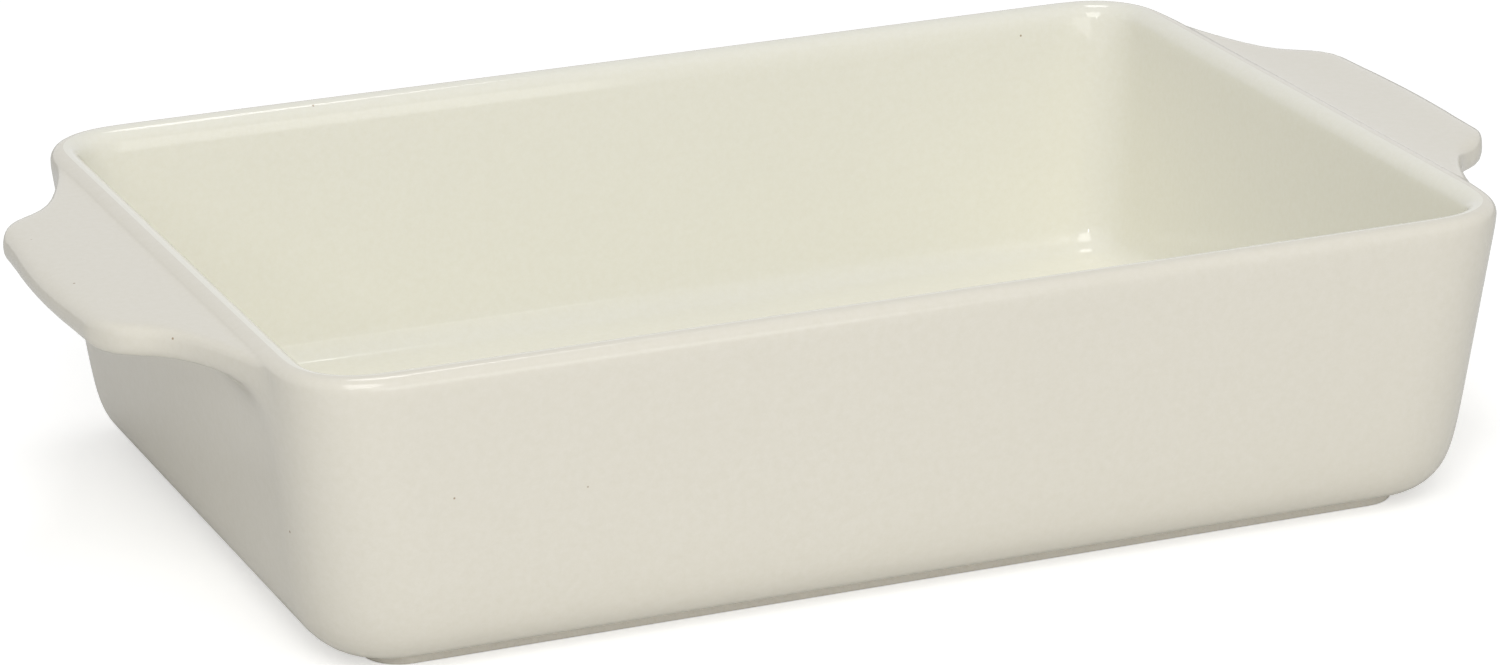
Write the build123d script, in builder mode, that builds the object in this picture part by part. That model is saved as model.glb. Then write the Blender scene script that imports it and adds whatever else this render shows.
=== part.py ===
from build123d import *
import os

# A stoneware lasagna dish: a deep tray with leaning walls, a rounded rim and a flat handle at each end.
# The finished sizes below are measured over the glaze, in millimetres. The origin is on the table
# under the middle of the dish, +X runs along its length and +Z is up.

# Tray, outside. The rim sizes are where the faces of the walls reach the top.
dish_height = 80.0
rim_length = 321.0
rim_width = 231.2
rim_corner_radius = 22.3
end_wall_flare = 8.1       # how far each end wall leans out between the base and the top
side_wall_flare = 9.7
base_corner_radius = 26.0
base_edge_radius = 14.8

# Walls, rim and well
wall_thickness = 8.7
rim_outer_radius = 4.3
rim_inner_radius = 4.0
well_corner_radius = 13.6
well_floor_height = 11.0
well_floor_radius = 7.5

# Handles, sized from the straight part of the rim at each end
handle_reach = 29.8        # how far the middle of the tip stands out from the rim
handle_drop = 1.6          # from the top of the rim down to the top of a handle
handle_thickness = 8.7
handle_edge_radius = 4.3
handle_root_margin = 8.3   # straight rim left over on each side of a handle
handle_root_flare = 27.5   # how much further out each side is at the rim than at the waist
handle_waist_flare = 14.2  # how much further out each side is at the waist than at the tip
handle_waist_reach = 10.8  # how far the waist stands out from the rim
handle_waist_radius = 21.0
handle_tip_bow = 1.8
handle_tip_radius = 20.0
handle_blend_radius = 6.5
handle_entry = 3.0         # how far inside the rim its sides turn straight
handle_tail = 30.0         # how far inside the rim the uncut slab ends

# Foot ring, left as bare clay
foot_height = 1.8
foot_end_inset = 14.9      # from the foot of an end wall in to the ring
foot_side_inset = 12.4
foot_corner_radius = 10.0
foot_ring_width = 6.0
foot_edge_radius = 0.6

# Glaze
glaze_thickness = 0.4

# Allowances for cutting and for finding edges
overrun = 10.0
touch = 0.01

# Worked out from the sizes above
wall_height = dish_height - foot_height
end_lean = end_wall_flare / wall_height
side_lean = side_wall_flare / wall_height
foot_length = rim_length - 2 * (end_wall_flare + foot_end_inset)
foot_width = rim_width - 2 * (side_wall_flare + foot_side_inset)
crest_outer_edge = wall_thickness - rim_outer_radius * (1 + end_lean)
crest_inner_edge = rim_inner_radius * (1 - end_lean)
crest_depth = (crest_outer_edge + crest_inner_edge) / 2


def level_length(height, depth):
    """Outside length of the tray at a height, with its end walls cut back by depth."""
    return rim_length - 2 * (dish_height - height) * end_lean - 2 * depth * (1 + end_lean**2) ** 0.5


def level_width(height, depth):
    """Outside width of the tray at a height, with its side walls cut back by depth."""
    return rim_width - 2 * (dish_height - height) * side_lean - 2 * depth * (1 + side_lean**2) ** 0.5


def tray_block(depth):
    """The tray filled in, with round outside edges, depth below the finished surface."""
    low, high = foot_height + depth, dish_height - depth
    with BuildPart() as block:
        with BuildSketch(Plane.XY.offset(low)):
            RectangleRounded(level_length(low, depth), level_width(low, depth), base_corner_radius - depth)
        with BuildSketch(Plane.XY.offset(high)):
            RectangleRounded(level_length(high, depth), level_width(high, depth), rim_corner_radius - depth)
        loft(ruled=True)
        fillet(block.edges().group_by(Axis.Z)[0], base_edge_radius - depth)
        fillet(block.edges().group_by(Axis.Z)[-1], rim_outer_radius - depth)
    return block.part


def handle_slabs(depth):
    """Both handles as slabs with round edges, whose tails end inside the walls."""
    root = rim_length / 2 - depth
    waist = root + handle_waist_reach
    tip = root + handle_reach
    corner = tip - handle_tip_bow
    root_half = rim_width / 2 - rim_corner_radius - handle_root_margin - depth
    waist_half = root_half - handle_root_flare
    corner_half = waist_half - handle_waist_flare
    entry = root - handle_entry
    entry_half = root_half + handle_root_flare * handle_entry / handle_waist_reach
    tail = root - handle_tail
    with BuildPart() as slabs:
        with BuildSketch(Plane.XY.offset(dish_height - handle_drop - handle_thickness + depth)) as outline:
            with BuildLine():
                ThreePointArc((corner, -corner_half), (tip, 0), (corner, corner_half))
                Polyline((corner, corner_half), (waist, waist_half), (entry, entry_half), (tail, entry_half),
                         (tail, -entry_half), (entry, -entry_half), (waist, -waist_half), (corner, -corner_half))
            make_face()
            fillet(outline.vertices().group_by(Axis.X)[-1], handle_tip_radius - depth)
            fillet(outline.vertices().group_by(Axis.X)[2], handle_waist_radius + depth)
        extrude(amount=handle_thickness - 2 * depth)
        fillet(slabs.faces().filter_by(Axis.Z).edges(), handle_edge_radius - depth)
        mirror(about=Plane.YZ)
    return slabs.part


def well_cutter(depth):
    """The space inside the tray, open at the top, grown into the walls and floor by depth."""
    low, high = well_floor_height - depth, dish_height + overrun
    inset = wall_thickness - depth
    with BuildPart() as cutter:
        for height in (low, high):
            with BuildSketch(Plane.XY.offset(height)):
                RectangleRounded(level_length(height, inset), level_width(height, inset), well_corner_radius + depth)
        loft(ruled=True)
        fillet(cutter.edges().group_by(Axis.Z)[0], well_floor_radius + depth)
    return cutter.part


def dish_form(depth):
    """The whole dish above its foot ring, depth below the finished surface all over."""
    tray = tray_block(depth)
    slabs = handle_slabs(depth)

    def on_both(edge):
        middle = Vertex(edge @ 0.5)
        return max(middle.distance_to(tray), middle.distance_to(slabs)) < touch

    with BuildPart() as form:
        add(tray)
        add(slabs)
        fillet(form.edges().filter_by(on_both), handle_blend_radius)
        add(well_cutter(depth), mode=Mode.SUBTRACT)
        mouth = form.faces().sort_by(Axis.Z)[-1].inner_wires()[0]
        fillet(mouth.edges(), rim_inner_radius - depth)
    return form.part


# Clay: tray, handles and foot ring in one casting
with BuildPart() as foot_ring:
    with BuildSketch():
        RectangleRounded(foot_length, foot_width, foot_corner_radius)
        offset(amount=-foot_ring_width, mode=Mode.SUBTRACT)
    extrude(amount=foot_height + glaze_thickness)
    fillet(foot_ring.faces().sort_by(Axis.Z)[0].edges(), foot_edge_radius)

with BuildPart() as stoneware_body:
    add(dish_form(glaze_thickness))
    add(foot_ring.part)

# Glaze: what the finished form adds to the clay, parted at the crest of the rim and at the foot ring
with BuildPart() as coat:
    add(dish_form(0))
    add(stoneware_body.part, mode=Mode.SUBTRACT)

with BuildPart() as foot_recess:
    with BuildSketch():
        RectangleRounded(foot_length, foot_width, foot_corner_radius)
        offset(amount=-foot_ring_width / 2, mode=Mode.REPLACE)
    extrude(amount=foot_height + glaze_thickness)

with BuildPart() as liner_glaze:
    add(coat.part)
    add(well_cutter(crest_depth), mode=Mode.INTERSECT)

with BuildPart() as base_glaze:
    add(coat.part)
    add(foot_recess.part, mode=Mode.INTERSECT)

with BuildPart() as outer_glaze:
    add(coat.part)
    add(well_cutter(crest_depth), mode=Mode.SUBTRACT)
    add(foot_recess.part, mode=Mode.SUBTRACT)

os.makedirs("parts", exist_ok=True)

stoneware_body.part.label = "stoneware_body"
export_step(stoneware_body.part, "parts/stoneware_body.step")

liner_glaze.part.label = "liner_glaze"
export_step(liner_glaze.part, "parts/liner_glaze.step")

outer_glaze.part.label = "outer_glaze"
export_step(outer_glaze.part, "parts/outer_glaze.step")

base_glaze.part.label = "base_glaze"
export_step(base_glaze.part, "parts/base_glaze.step")
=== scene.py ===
import math
import bmesh
import bpy
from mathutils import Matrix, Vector


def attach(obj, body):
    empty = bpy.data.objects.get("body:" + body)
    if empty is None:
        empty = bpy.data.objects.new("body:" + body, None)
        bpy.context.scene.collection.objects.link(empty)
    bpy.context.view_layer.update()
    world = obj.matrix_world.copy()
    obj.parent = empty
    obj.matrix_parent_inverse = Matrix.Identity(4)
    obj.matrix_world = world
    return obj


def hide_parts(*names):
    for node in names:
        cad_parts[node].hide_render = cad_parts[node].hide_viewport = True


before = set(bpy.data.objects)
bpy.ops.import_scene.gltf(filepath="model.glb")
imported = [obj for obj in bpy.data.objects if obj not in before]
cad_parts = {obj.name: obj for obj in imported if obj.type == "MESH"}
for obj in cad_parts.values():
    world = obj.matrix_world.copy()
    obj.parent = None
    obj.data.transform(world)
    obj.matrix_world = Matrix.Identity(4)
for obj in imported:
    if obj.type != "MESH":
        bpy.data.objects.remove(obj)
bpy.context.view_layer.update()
bpy.context.scene.view_settings.view_transform = "Standard"
print("frame loaded:", sorted(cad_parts))

# The camera stands in front of the near long wall, a little to the left and above
camera = {
    "azimuth": -21.803,       # degrees, 0 looks along +Y
    "elevation": 18.346,
    "roll": -1.153,
    "distance": 1.54094,
    "aim": (0.0, 0.0, 0.041565),
    "lens": 143.92,           # the lens and the sensor are in millimetres
    "sensor": 36,
    "shift": (-0.00676, -0.01267),
    "farthest": 50,
}


def makeCamera():
    turn, rise = math.radians(camera["azimuth"]), math.radians(camera["elevation"])
    back = Vector((math.sin(turn) * math.cos(rise), -math.cos(turn) * math.cos(rise), math.sin(rise)))
    data = bpy.data.cameras.new("studioCamera")
    data.lens = camera["lens"]
    data.sensor_width = camera["sensor"]
    data.shift_x, data.shift_y = camera["shift"]
    data.clip_end = camera["farthest"]
    eye = bpy.data.objects.new("studioCamera", data)
    bpy.context.scene.collection.objects.link(eye)
    look = (-back).to_track_quat("-Z", "Y").to_matrix().to_4x4()
    look.col[3][:3] = Vector(camera["aim"]) + back * camera["distance"]
    eye.matrix_world = look
    eye.rotation_euler.rotate_axis("Z", math.radians(camera["roll"]))
    bpy.context.scene.camera = eye
    print("camera set")


def addNode(tree, kind, links=None, **settings):
    node = tree.nodes.new(kind)
    for name, value in settings.items():
        if hasattr(node, name):
            setattr(node, name, value)
        else:
            node.inputs[name.replace("_", " ")].default_value = value
    for socket, source in (links or {}).items():
        tree.links.new(source, node.inputs[socket])
    return node


# Soft lamps over and in front of the dish, and a small one for the bright points in the gloss
studio = {
    "skyLevel": 0.36,         # how strongly the white sky lights the dish
    "seenLevel": 1,           # and how bright the camera and the gloss see it
    "skyColor": (1, 1, 1, 1),
    "lamps": {
        "overheadLamp": {"size": 0.6, "power": 5.6, "place": (0.2, 0.4, 1.9), "aim": (0, 0, 0.05)},
        "frontLamp": {"size": 1.35, "power": 21.8, "place": (-0.64, -1.7, 1.55), "aim": (0, 0, 0.04)},
        "lowLamp": {"size": 1.0, "power": 4.0, "place": (0.1, -1.6, 0.12), "aim": (0, 0, 0.03)},
        "sparkLamp": {"size": 0.09, "power": 0.8, "place": (-1.1, -1.8, 0.75), "aim": (0.1, 0.05, 0.04)},
    },
    "floorSize": 30,
    "floorDrop": 0.00005,     # a hair under the foot ring, so that the two faces don't fight
    "floorColor": (0.86, 0.86, 0.855, 1),
    "floorGlow": 0.48,        # what the camera sees on top of the lit floor
}


def makeSky():
    world = bpy.context.scene.world or bpy.data.worlds.new("studioSky")
    bpy.context.scene.world = world
    world.use_nodes = True
    tree = world.node_tree
    tree.nodes.clear()
    path = addNode(tree, "ShaderNodeLightPath")
    seen = path.outputs["Is Camera Ray"]
    for ray in ("Is Glossy Ray", "Is Transmission Ray"):
        either = addNode(tree, "ShaderNodeMath", {0: seen, 1: path.outputs[ray]}, operation="MAXIMUM")
        seen = either.outputs[0]
    mix = addNode(tree, "ShaderNodeMixShader", {0: seen})
    for place, level in ((1, "skyLevel"), (2, "seenLevel")):
        light = addNode(tree, "ShaderNodeBackground", Color=studio["skyColor"], Strength=studio[level])
        tree.links.new(light.outputs[0], mix.inputs[place])
    addNode(tree, "ShaderNodeOutputWorld", {"Surface": mix.outputs[0]})


def makeFloor():
    bpy.ops.object.select_all(action="DESELECT")
    bpy.ops.mesh.primitive_plane_add(size=studio["floorSize"], location=(0, 0, -studio["floorDrop"]))
    floor = bpy.context.object
    floor.name = "studioFloor"
    material = bpy.data.materials.new("paleFloor")
    material.use_nodes = True
    tree = material.node_tree
    tree.nodes.clear()
    seen = addNode(tree, "ShaderNodeLightPath").outputs["Is Camera Ray"]
    matt = addNode(tree, "ShaderNodeBsdfDiffuse", Color=studio["floorColor"]).outputs[0]
    glow = addNode(tree, "ShaderNodeEmission", Strength=studio["floorGlow"]).outputs[0]
    both = addNode(tree, "ShaderNodeAddShader", {0: matt, 1: glow}).outputs[0]
    mix = addNode(tree, "ShaderNodeMixShader", {0: seen, 1: matt, 2: both}).outputs[0]
    addNode(tree, "ShaderNodeOutputMaterial", {"Surface": mix})
    floor.data.materials.append(material)


def makeStudio():
    makeSky()
    for name, facts in studio["lamps"].items():
        data = bpy.data.lights.new(name, "AREA")
        data.shape = "SQUARE"
        data.size = facts["size"]
        data.energy = facts["power"]
        lamp = bpy.data.objects.new(name, data)
        bpy.context.scene.collection.objects.link(lamp)
        lamp.location = facts["place"]
        aim = Vector(facts["aim"]) - Vector(facts["place"])
        lamp.rotation_euler = aim.to_track_quat("-Z", "Y").to_euler()
    makeFloor()
    print("studio lit")


makeCamera()
makeStudio()

# Finishes. Colours are how the fired glaze looks, save the liner's and the clay's, which also carry
# painted light. Scales count waves or cells in a metre.
outerGlazeFinish = {
    "color": (0.835, 0.802, 0.71, 1),
    "cloudColor": (0.822, 0.786, 0.69, 1),    # where the coat lies thicker
    "cloudScale": 11.0,
    "mottleColor": (0.80, 0.764, 0.66, 1),
    "mottleScale": 520.0,
    "speckColor": (0.34, 0.22, 0.11, 1),
    "speckRarity": 0.985,
    "roughness": (0.13, 0.17),
    "pores": 0.015,
}
# The liner's colours are painted lighter and yellower than the outer glaze's, over the same glaze: painted
# light, for the light that falls and bounces in the well.
linerGlazeAndPaintedLight = {
    "color": (0.93, 0.917, 0.828, 1),
    "cloudColor": (0.92, 0.907, 0.808, 1),
    "cloudScale": 9.0,
    "mottleColor": (0.90, 0.883, 0.775, 1),
    "mottleScale": 620.0,
    "speckColor": (0.36, 0.24, 0.12, 1),
    "speckRarity": 0.985,
    "roughness": (0.06, 0.09),
    "pores": 0.005,
}
baseGlazeFinish = {
    "color": (0.80, 0.762, 0.66, 1),
    "cloudColor": (0.765, 0.71, 0.60, 1),     # the clay shows through a thin coat
    "cloudScale": 16.0,
    "mottleColor": (0.74, 0.69, 0.585, 1),
    "mottleScale": 480.0,
    "speckColor": (0.34, 0.22, 0.11, 1),
    "speckRarity": 0.975,
    "roughness": (0.36, 0.46),
    "pores": 0.12,
}
# What the three glazes share. A range is the part of a noise's values that a change is spread over.
anyGlaze = {
    "cloudDetail": 2.0,
    "cloudRange": (0.2, 0.8),
    "mottleDetail": 3.0,
    "mottleRoughness": 0.7,
    "mottleRange": (0.3, 0.7),
    "speckScale": 180.0,
    "speckSize": 0.075,       # in cells of that scale
    "speckCore": 0.6,         # the share of that size where a speck is darkest
    "speckDepth": 0.85,
    "glossScale": 34.0,
    "glossDetail": 3.0,
    "glossRange": (0.3, 0.7),
    "rippleScale": 48.0,
    "rippleDetail": 1.0,
    "rippleStrength": 0.05,
    "rippleHeight": 0.0006,
    "poreScale": 700.0,
    "poreDetail": 2.0,
    "poreHeight": 0.0001,
}
# Pale cream stoneware, its colour lifted a little further as painted light, so that the foot ring looks
# brighter where it stands in shade.
paleClayPaintedLighter = {
    "color": (0.84, 0.80, 0.71, 1),
    "grainColor": (0.74, 0.68, 0.57, 1),
    "grainShare": 0.8,
    "grainScale": 900.0,
    "grainDetail": 5.0,
    "grainRoughness": 0.7,
    "grainRange": (0.5, 0.75),
    "grainStrength": 0.25,
    "grainHeight": 0.0002,
    "roughness": (0.72, 0.88),
    "roughRange": (0.3, 0.7),
}
plainNoise = 0.5              # how rough a noise is where a finish doesn't say


def addNoise(tree, where, scale, detail, roughness=plainNoise):
    noise = addNode(tree, "ShaderNodeTexNoise", {"Vector": where},
                    Scale=scale, Detail=detail, Roughness=roughness)
    return noise.outputs["Fac"]


def spread(tree, source, low, high, bottom=0, top=1):
    ramp = addNode(tree, "ShaderNodeMapRange", {"Value": source},
                   From_Min=low, From_Max=high, To_Min=bottom, To_Max=top)
    return ramp.outputs[0]


def blendColors(tree, share, first, second):
    mix = addNode(tree, "ShaderNodeMix", data_type="RGBA")
    tree.links.new(share, mix.inputs[0])
    for socket, color in ((6, first), (7, second)):     # a mix node's colour sockets
        if isinstance(color, tuple):
            mix.inputs[socket].default_value = color
        else:
            tree.links.new(color, mix.inputs[socket])
    return mix.outputs[2]


def addBump(tree, height, strength, distance, **links):
    links["Height"] = height
    bump = addNode(tree, "ShaderNodeBump", links, Strength=strength, Distance=distance)
    return bump.outputs[0]


def openMaterial(name):
    material = bpy.data.materials.new(name)
    material.use_nodes = True
    tree = material.node_tree
    where = addNode(tree, "ShaderNodeTexCoord").outputs["Object"]
    return material, tree, tree.nodes["Principled BSDF"], where


def addSpecks(tree, where, facts):
    # a few pinhead specks of iron, in the rarest of the pattern's cells
    specks = addNode(tree, "ShaderNodeTexVoronoi", {"Vector": where}, Scale=anyGlaze["speckScale"])
    edge, core = anyGlaze["speckSize"], anyGlaze["speckSize"] * anyGlaze["speckCore"]
    inside = spread(tree, specks.outputs["Distance"], edge, core, 0, anyGlaze["speckDepth"])
    parts = addNode(tree, "ShaderNodeSeparateColor", {"Color": specks.outputs["Color"]})
    rare = addNode(tree, "ShaderNodeMath", {0: parts.outputs[0]}, operation="GREATER_THAN")
    rare.inputs[1].default_value = facts["speckRarity"]
    shown = addNode(tree, "ShaderNodeMath", {0: inside, 1: rare.outputs[0]}, operation="MULTIPLY")
    return shown.outputs[0]


def makeGlaze(name, facts):
    material, tree, shader, where = openMaterial(name)
    # broad clouds where the coat is thicker and thinner, and a fine mottle, as in any opaque glaze
    clouds = addNoise(tree, where, facts["cloudScale"], anyGlaze["cloudDetail"])
    share = spread(tree, clouds, *anyGlaze["cloudRange"])
    color = blendColors(tree, share, facts["color"], facts["cloudColor"])
    mottle = addNoise(tree, where, facts["mottleScale"], anyGlaze["mottleDetail"],
                      anyGlaze["mottleRoughness"])
    share = spread(tree, mottle, *anyGlaze["mottleRange"])
    color = blendColors(tree, share, color, facts["mottleColor"])
    color = blendColors(tree, addSpecks(tree, where, facts), color, facts["speckColor"])
    tree.links.new(color, shader.inputs["Base Color"])
    # the gloss changes a little, and is gently rippled
    gloss = addNoise(tree, where, anyGlaze["glossScale"], anyGlaze["glossDetail"])
    roughness = spread(tree, gloss, *anyGlaze["glossRange"], *facts["roughness"])
    tree.links.new(roughness, shader.inputs["Roughness"])
    ripples = addNoise(tree, where, anyGlaze["rippleScale"], anyGlaze["rippleDetail"])
    wide = addBump(tree, ripples, anyGlaze["rippleStrength"], anyGlaze["rippleHeight"])
    pores = addNoise(tree, where, anyGlaze["poreScale"], anyGlaze["poreDetail"])
    fine = addBump(tree, pores, facts["pores"], anyGlaze["poreHeight"], Normal=wide)
    tree.links.new(fine, shader.inputs["Normal"])
    return material


def makeClay(name, facts):
    material, tree, shader, where = openMaterial(name)
    grain = addNoise(tree, where, facts["grainScale"], facts["grainDetail"], facts["grainRoughness"])
    share = spread(tree, grain, *facts["grainRange"], 0, facts["grainShare"])
    color = blendColors(tree, share, facts["color"], facts["grainColor"])
    tree.links.new(color, shader.inputs["Base Color"])
    roughness = spread(tree, grain, *facts["roughRange"], *facts["roughness"])
    tree.links.new(roughness, shader.inputs["Roughness"])
    fine = addBump(tree, grain, facts["grainStrength"], facts["grainHeight"])
    tree.links.new(fine, shader.inputs["Normal"])
    return material


finishes = {
    "outer": makeGlaze("outerCream", outerGlazeFinish),
    # the liner's colour carries painted light for the bright well
    "liner": makeGlaze("linerCreamPaintedLight", linerGlazeAndPaintedLight),
    "base": makeGlaze("baseCream", baseGlazeFinish),
    # the clay's colour is lifted a little as painted light for the shaded foot ring
    "clay": makeClay("paleClayPaintedLighter", paleClayPaintedLighter),
}
print("finishes made")

# The tray's outside and inside, in metres. Corner radii are a little under the fired ones,
# because the smoothing pulls the rounded corners in.
tray = {
    "rimLength": 0.3210,
    "rimWidth": 0.2312,
    "height": 0.0800,
    "baseHeight": 0.0018,
    "endFlare": 0.0081,
    "sideFlare": 0.0097,
    "wall": 0.0087,
    "rimCorner": 0.0217,
    "baseCorner": 0.0234,
    "wellCorner": 0.0128,
    "leastCorner": 0.0030,
    "rimShare": 0.15,            # the share of the height where a corner is still the rim's
    "cornerFall": 1.1,           # how fast the base corners tighten towards the foot
    "wellFloor": 0.0110,
    "wellFillet": 0.0075,
    "floorInset": 2.2,           # where the well's flat grid begins, in fillets from the wall
    "baseFillet": 0.0148,
    "rimRound": 0.00435,
    "crestFlat": 0.0006,
    "parting": (0.2660, 0.1780),   # where the glaze stops, over the middle of the foot ring
    "partingCorner": 0.0070,
    "cornerCuts": 4,
    "endCuts": 18,
    "sideCuts": 24,
    "outerLevels": (0.0697, 0.0600, 0.0480, 0.0330),
    "innerLevels": (0.0620, 0.0460, 0.0310),
}
outerPart, linerPart, basePart = 0, 1, 2     # which coat a face belongs to

# The rows of a quarter round, from its upright side: how far in and how far down, in radii
quarterRows = ((0, 1.05), (0.0935, 0.4766), (0.4766, 0.0935), (1.05, 0))

# How near a point has to be to count as on a level, in a column or in a corner
slack = {
    "level": 0.0002,
    "column": 0.0008,
    "corner": 0.000001,
}


def near(value, target, within=slack["level"]):
    return abs(value - target) < within


def levelSize(height, inset):
    rise = tray["height"] - tray["baseHeight"]
    drop = (tray["height"] - height) / rise
    length, width = [
        tray[size] - 2 * tray[flare] * drop - 2 * inset * math.hypot(1, tray[flare] / rise)
        for size, flare in (("rimLength", "endFlare"), ("rimWidth", "sideFlare"))]
    return length, width


def cornerAt(height, inset):
    drop = (tray["height"] - height) / (tray["height"] - tray["baseHeight"])
    outside = tray["rimCorner"] + (tray["baseCorner"] - tray["rimCorner"]) * drop
    if inset >= tray["wall"]:
        return max(tray["wellCorner"] - (inset - tray["wall"]), tray["leastCorner"])
    if drop < tray["rimShare"]:
        return outside + (tray["wellCorner"] - outside) * inset / tray["wall"]
    return outside - tray["cornerFall"] * inset


def openMesh():
    return bmesh.from_edit_mesh(bpy.context.object.data)


def choose(test):
    mesh = openMesh()
    picked = [point for point in mesh.verts if test(point)]
    for part in (mesh.faces, mesh.edges, mesh.verts):
        for item in part:
            item.select = False
    for point in picked:
        point.select = True
    mesh.select_flush(True)
    bmesh.update_edit_mesh(bpy.context.object.data)


def chooseEdges(test):
    bpy.context.tool_settings.mesh_select_mode = (False, True, False)
    mesh = openMesh()
    for edge in mesh.edges:
        edge.select = test(edge)
    mesh.select_flush_mode()
    bmesh.update_edit_mesh(bpy.context.object.data)


def chooseOpenEdges():
    choose(lambda point: False)
    bpy.ops.mesh.select_non_manifold(
        extend=False, use_multi_face=False, use_non_contiguous=False, use_verts=False)


def leaveMesh():
    bpy.ops.mesh.select_all(action="SELECT")
    bpy.ops.mesh.normals_make_consistent(inside=False)
    bpy.ops.object.mode_set(mode="OBJECT")


def selectOnly(*pieces):
    bpy.ops.object.select_all(action="DESELECT")
    for piece in pieces:
        piece.select_set(True)
    bpy.context.view_layer.objects.active = pieces[-1]


def firstRing(name, size, corner, height, cornerCuts, cuts=(1, 1)):
    bpy.ops.object.select_all(action="DESELECT")
    bpy.ops.mesh.primitive_plane_add(size=1)
    piece = bpy.context.object
    piece.name = name
    bpy.ops.object.mode_set(mode="EDIT")
    bpy.ops.transform.translate(value=(0, 0, height))
    bpy.ops.transform.resize(value=(size[0], size[1], 1))
    bpy.ops.mesh.bevel(offset=corner, segments=cornerCuts, affect="VERTICES")
    bpy.ops.mesh.select_all(action="SELECT")
    bpy.ops.mesh.delete(type="ONLY_FACE")
    for axis in (0, 1):
        if cuts[axis] > 1:
            chooseEdges(lambda edge: abs((edge.verts[0].co - edge.verts[1].co)[axis]) > size[axis] / 2)
            bpy.ops.mesh.subdivide(number_cuts=cuts[axis] - 1)
    bpy.context.tool_settings.mesh_select_mode = (True, False, False)
    bpy.ops.mesh.select_all(action="SELECT")
    return piece


def nextRing(before, size, corner, height, part=0):
    oldSize, oldCorner, oldHeight = before
    bpy.ops.mesh.extrude_region_move(TRANSFORM_OT_translate={"value": (0, 0, height - oldHeight)})
    grow = (size[0] / oldSize[0], size[1] / oldSize[1])
    bpy.ops.transform.resize(value=(grow[0], grow[1], 1), center_override=(0, 0, height))
    mesh = openMesh()
    mesh.verts.index_update()
    ring = set()
    for point in mesh.verts:
        if point.select:
            ring.add(point.index)
            for face in point.link_faces:
                face.material_index = part
    # each corner goes to its own radius
    reach = (oldCorner * grow[0], oldCorner * grow[1])
    for sideX in (-1, 1):
        for sideY in (-1, 1):
            choose(lambda point: point.index in ring
                   and point.co.x * sideX > size[0] / 2 - reach[0] - slack["corner"]
                   and point.co.y * sideY > size[1] / 2 - reach[1] - slack["corner"])
            bpy.ops.transform.resize(value=(corner / reach[0], corner / reach[1], 1),
                                     center_override=(sideX * size[0] / 2, sideY * size[1] / 2, height))
    choose(lambda point: point.index in ring)
    return size, corner, height


def wallRing(before, height, inset, part):
    return nextRing(before, levelSize(height, inset), cornerAt(height, inset), height, part)


def fillLoop(part):
    # the grid of faces starts from the middle of a corner
    mesh = openMesh()
    ring = [point for point in mesh.verts if point.select]
    start = max(ring, key=lambda point: point.co.x + point.co.y)
    mesh.select_history.clear()
    mesh.select_history.add(start)
    bmesh.update_edit_mesh(bpy.context.object.data)
    bpy.ops.mesh.fill_grid(span=tray["endCuts"] + tray["cornerCuts"])
    for face in openMesh().faces:
        if face.select:
            face.material_index = part


def quarterRound(radius):
    return [(inward * radius, down * radius) for inward, down in quarterRows]


def modelTray():
    top, base, wall, rim = tray["height"], tray["baseHeight"], tray["wall"], tray["rimRound"]
    rimRows = list(reversed(quarterRound(rim)[:-1]))
    crest = (levelSize(top, rim), cornerAt(top, rim), top)
    form = firstRing("dishForm", *crest, tray["cornerCuts"], (tray["sideCuts"], tray["endCuts"]))
    # down the outside, from the crest of the rim to the foot
    ring = wallRing(crest, top, rim - tray["crestFlat"], outerPart)
    for inset, fall in rimRows:
        ring = wallRing(ring, top - fall, inset, outerPart)
    for level in tray["outerLevels"]:
        ring = wallRing(ring, level, 0, outerPart)
    for inset, rise in quarterRound(tray["baseFillet"]):
        ring = wallRing(ring, base + rise, inset, outerPart)
    nextRing(ring, tray["parting"], tray["partingCorner"], base, outerPart)
    fillLoop(basePart)
    # down the inside, to the floor of the well
    chooseOpenEdges()
    ring = wallRing(crest, top, rim + tray["crestFlat"], linerPart)
    for inset, fall in rimRows:
        ring = wallRing(ring, top - fall, wall - inset, linerPart)
    for level in tray["innerLevels"]:
        ring = wallRing(ring, level, wall, linerPart)
    for inset, rise in quarterRound(tray["wellFillet"]):
        ring = wallRing(ring, tray["wellFloor"] + rise, wall + inset, linerPart)
    wallRing(ring, tray["wellFloor"], wall + tray["floorInset"] * tray["wellFillet"], linerPart)
    fillLoop(linerPart)
    print("tray modelled")
    return form


# Each handle is drawn out of its end wall in three rows, from between two of the wall's own
handles = {
    "under": tray["outerLevels"][0],
    "top": 0.0784,
    "rootHalf": 0.0865,
    "rootRise": (0.0030, 0.0010, 0.0001),   # how far each row of the rim's rounding rises over it
    # a column of the root's underside, and how far out and up it moves
    "rootEase": ((0.0859, 0.0013, 0.0034), (0.0751, 0.0010, 0.0020), (0.0644, 0.0004, 0.0008)),
    # how far out a row lies, and half its width
    "rows": ((0.1713, 0.0540), (0.1826, 0.0503), (0.1906, 0.0378)),
    "firstStep": 0.005,          # how far a row moves before it goes to its place
    "edgeLower": 0.0003,
    "edgeRaise": 0.0005,
    # how far the tip's columns fall back, from the outermost one inwards
    "tipPull": (0.0016, 0.0018, 0.0014, 0.0012, 0.0007, 0.0004, 0.0002),
    "lift": {-1: 0.0005, 1: -0.0006},       # the left handle sits higher than the right one
}


def outsideAt(height, inset):
    return levelSize(height, inset)[0] / 2


def inColumn(point, half):
    return near(abs(point.co.y), half, slack["column"])


def onRows(point, side):
    return point.co.x * side > handles["rows"][0][0] - slack["column"]


def raiseRoot(side):
    # the rows of the rim's outer rounding rise to meet the handle's top
    crestEdge = tray["rimRound"] - tray["crestFlat"]
    for (_, fall), rise in zip(quarterRound(tray["rimRound"]), handles["rootRise"]):
        level = tray["height"] - fall
        choose(lambda point: near(point.co.z, level) and abs(point.co.y) < handles["rootHalf"]
               and point.co.x * side > outsideAt(level, crestEdge))
        bpy.ops.transform.translate(value=(0, 0, rise))


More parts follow.
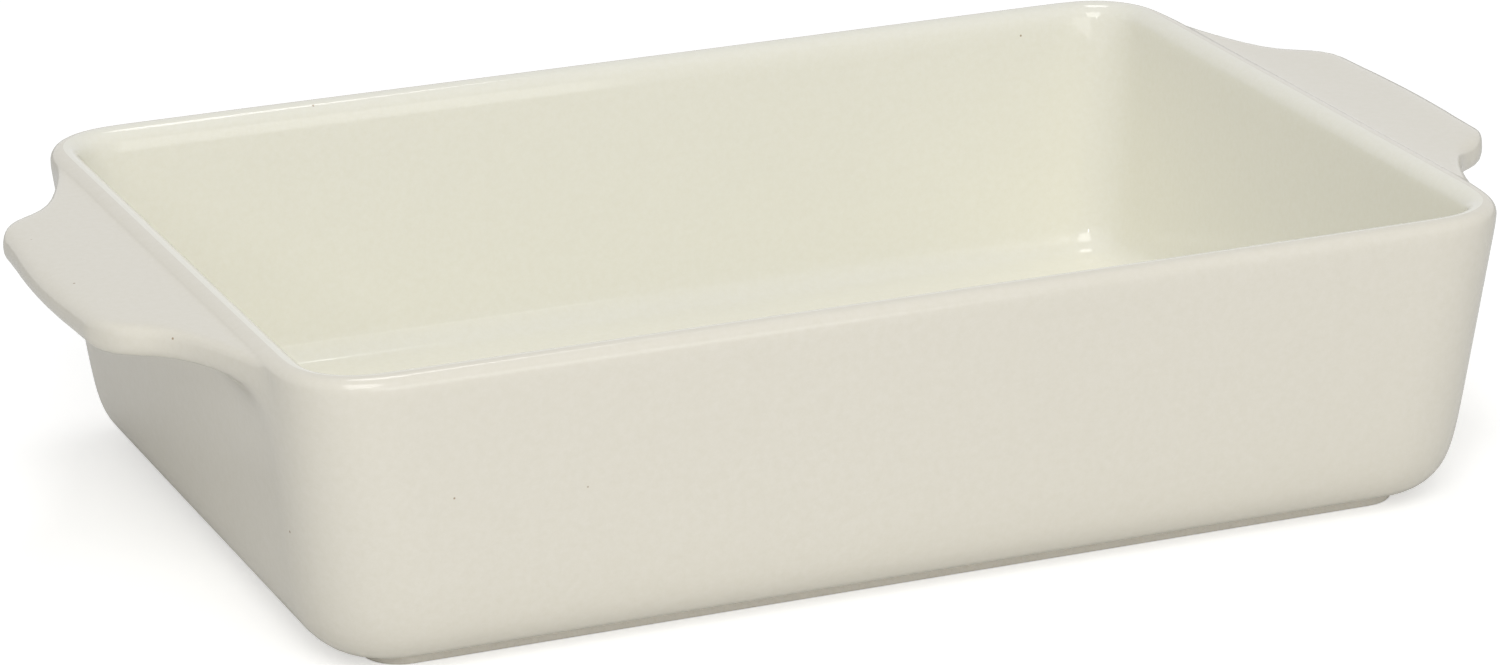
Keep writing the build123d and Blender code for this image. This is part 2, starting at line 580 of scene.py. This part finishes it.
def drawRows(side):
    under, top = handles["under"], handles["top"]
    wallInside = outsideAt(under, tray["wall"])
    bpy.context.tool_settings.mesh_select_mode = (False, False, True)
    mesh = openMesh()
    for face in mesh.faces:
        # a face of the end wall that reaches from one level to the other
        levels = [near(point.co.z, under) - near(point.co.z, top) for point in face.verts]
        face.select = all(levels) and sum(levels) == 0 and all(
            point.co.x * side > wallInside and abs(point.co.y) < handles["rootHalf"]
            for point in face.verts)
    mesh.select_flush_mode()
    bmesh.update_edit_mesh(bpy.context.object.data)
    half = max(abs(point.co.y) for point in mesh.verts if point.select)
    for place, width in handles["rows"]:
        bpy.ops.mesh.extrude_region_move(
            TRANSFORM_OT_translate={"value": (side * handles["firstStep"], 0, 0)})
        bpy.ops.transform.resize(value=(0, width / half, 1), center_override=(side * place, 0, 0))
        half = width
    bpy.context.tool_settings.mesh_select_mode = (True, False, False)
    middle = (under + top) / 2
    for level in (under, top):
        choose(lambda point: onRows(point, side) and (point.co.z > middle) == (level > middle))
        bpy.ops.transform.resize(value=(1, 1, 0), center_override=(0, 0, level))


def easeRoot(side):
    # underneath, the root's last columns move out and up, so that its ends fade into the wall
    under = handles["under"]
    for column, out, up in handles["rootEase"]:
        choose(lambda point: near(point.co.z, under) and inColumn(point, column)
               and point.co.x * side > outsideAt(under, tray["wall"]) and not onRows(point, side))
        bpy.ops.transform.translate(value=(side * out, 0, up))


def roundEdge(side):
    # the edge all along the tip and the sides gets rounder
    tip = handles["rows"][-1][0]

    def onEdge(point):
        return near(point.co.x * side, tip) or any(
            near(point.co.x * side, place) and inColumn(point, half) for place, half in handles["rows"])

    for level, move in ((handles["top"], -handles["edgeLower"]), (handles["under"], handles["edgeRaise"])):
        choose(lambda point: onEdge(point) and near(point.co.z, level))
        bpy.ops.transform.translate(value=(0, 0, move))


def bowTip(side):
    tip, tipHalf = handles["rows"][-1]
    columns = tray["endCuts"] // 2 - 1       # of the root, on each side of the middle
    for count, pull in enumerate(handles["tipPull"]):
        column = tipHalf * (columns - count) / columns
        choose(lambda point: near(point.co.x * side, tip) and inColumn(point, column))
        bpy.ops.transform.translate(value=(-side * pull, 0, 0))


def modelHandle(side):
    raiseRoot(side)
    drawRows(side)
    easeRoot(side)
    roundEdge(side)
    choose(lambda point: onRows(point, side))
    bpy.ops.transform.translate(value=(0, 0, handles["lift"][side]))
    bowTip(side)
    print("handle modelled:", "right" if side > 0 else "left")


# How far the form is smoothed, and the faint hollows that the hand and the kiln leave all over it
firing = {
    "smoothing": 2,
    "hollowDepth": 0.00015,
    "hollowSize": 0.07,
    "sharpestSmooth": 40,        # degrees, edges that turn by more are shaded sharp
}


def applyModifier(piece, kind, **settings):
    modifier = piece.modifiers.new("step", kind)
    for name, value in settings.items():
        setattr(modifier, name, value)
    selectOnly(piece)
    bpy.ops.object.modifier_apply(modifier=modifier.name)


def modelForm():
    form = modelTray()
    for side in (-1, 1):
        modelHandle(side)
    leaveMesh()
    applyModifier(form, "SUBSURF", levels=firing["smoothing"], render_levels=firing["smoothing"])
    hollows = bpy.data.textures.new("hollows", "CLOUDS")
    hollows.noise_scale = firing["hollowSize"]
    hollows.noise_depth = 0
    hollows.noise_basis = "IMPROVED_PERLIN"
    # a middle level of 1 lets the surface move inwards only
    applyModifier(form, "DISPLACE", texture=hollows, texture_coords="LOCAL",
                  strength=firing["hollowDepth"], mid_level=1)
    print("form smoothed:", len(form.data.polygons), "faces")
    return form


def finishPiece(piece, name, finish, node):
    piece.name = piece.data.name = name
    piece.data.materials.clear()
    piece.data.materials.append(finish)
    for face in piece.data.polygons:
        face.material_index = 0
    selectOnly(piece)
    bpy.ops.object.shade_smooth_by_angle(angle=math.radians(firing["sharpestSmooth"]))
    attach(piece, "root")
    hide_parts(node)
    print("piece finished:", name, len(piece.data.polygons), "faces")


# The clay fills the form under the glaze and stands on a bare ring
clayBody = {
    "coat": 0.0004,
    "ringSize": (0.2750, 0.1870),
    "ringCorner": 0.0100,
    "ringWidth": 0.0060,
    "ringTop": 0.0024,
    "ringEdge": 0.0006,
    "cornerCuts": 8,
    "edgeCuts": 3,
    "upright": 0.5,              # a face counts as upright while its normal rises less
}


def modelFootRing():
    top, width = clayBody["ringTop"], clayBody["ringWidth"]
    size, corner = clayBody["ringSize"], clayBody["ringCorner"]
    innerSize, innerCorner = (size[0] - 2 * width, size[1] - 2 * width), corner - width
    ring = (size, corner, top)
    foot = firstRing("footRing", *ring, clayBody["cornerCuts"])
    ring = nextRing(ring, size, corner, 0)
    ring = nextRing(ring, innerSize, innerCorner, 0)
    ring = nextRing(ring, innerSize, innerCorner, top)
    chooseOpenEdges()
    bpy.ops.mesh.bridge_edge_loops()
    chooseEdges(lambda edge: all(near(point.co.z, 0) for point in edge.verts)
                and any(abs(face.normal.z) < clayBody["upright"] for face in edge.link_faces))
    bpy.ops.mesh.bevel(offset=clayBody["ringEdge"], segments=clayBody["edgeCuts"], affect="EDGES")
    bpy.context.tool_settings.mesh_select_mode = (True, False, False)
    leaveMesh()
    return foot


def modelClay(form):
    selectOnly(form)
    bpy.ops.object.duplicate()
    clay = bpy.context.object
    applyModifier(clay, "DISPLACE", strength=-clayBody["coat"], mid_level=0)
    selectOnly(modelFootRing(), clay)
    bpy.ops.object.join()
    finishPiece(clay, "stonewareBody", finishes["clay"], "stoneware_body")


# The three coats of glaze, each a thin closed shell: name, finish and what it stands for.
# They are a touch thinner than the clay is set back, so that no two faces lie together.
coats = {
    "thickness": 0.00038,
    "pieces": (
        ("outerGlaze", "outer", "outer_glaze"),
        ("linerGlaze", "liner", "liner_glaze"),
        ("baseGlaze", "base", "base_glaze"),
    ),
}


def modelCoats(form):
    selectOnly(form)
    for _, finish, _ in coats["pieces"]:
        form.data.materials.append(finishes[finish])
    bpy.ops.object.mode_set(mode="EDIT")
    bpy.ops.mesh.select_all(action="SELECT")
    bpy.ops.mesh.separate(type="MATERIAL")
    bpy.ops.object.mode_set(mode="OBJECT")
    for piece in list(bpy.context.selected_objects):
        worn = piece.material_slots[piece.data.polygons[0].material_index].material
        for name, finish, node in coats["pieces"]:
            if finishes[finish] == worn:
                applyModifier(piece, "SOLIDIFY", thickness=coats["thickness"], offset=-1,
                              use_even_offset=True)
                finishPiece(piece, name, worn, node)


dishForm = modelForm()
modelClay(dishForm)
modelCoats(dishForm)
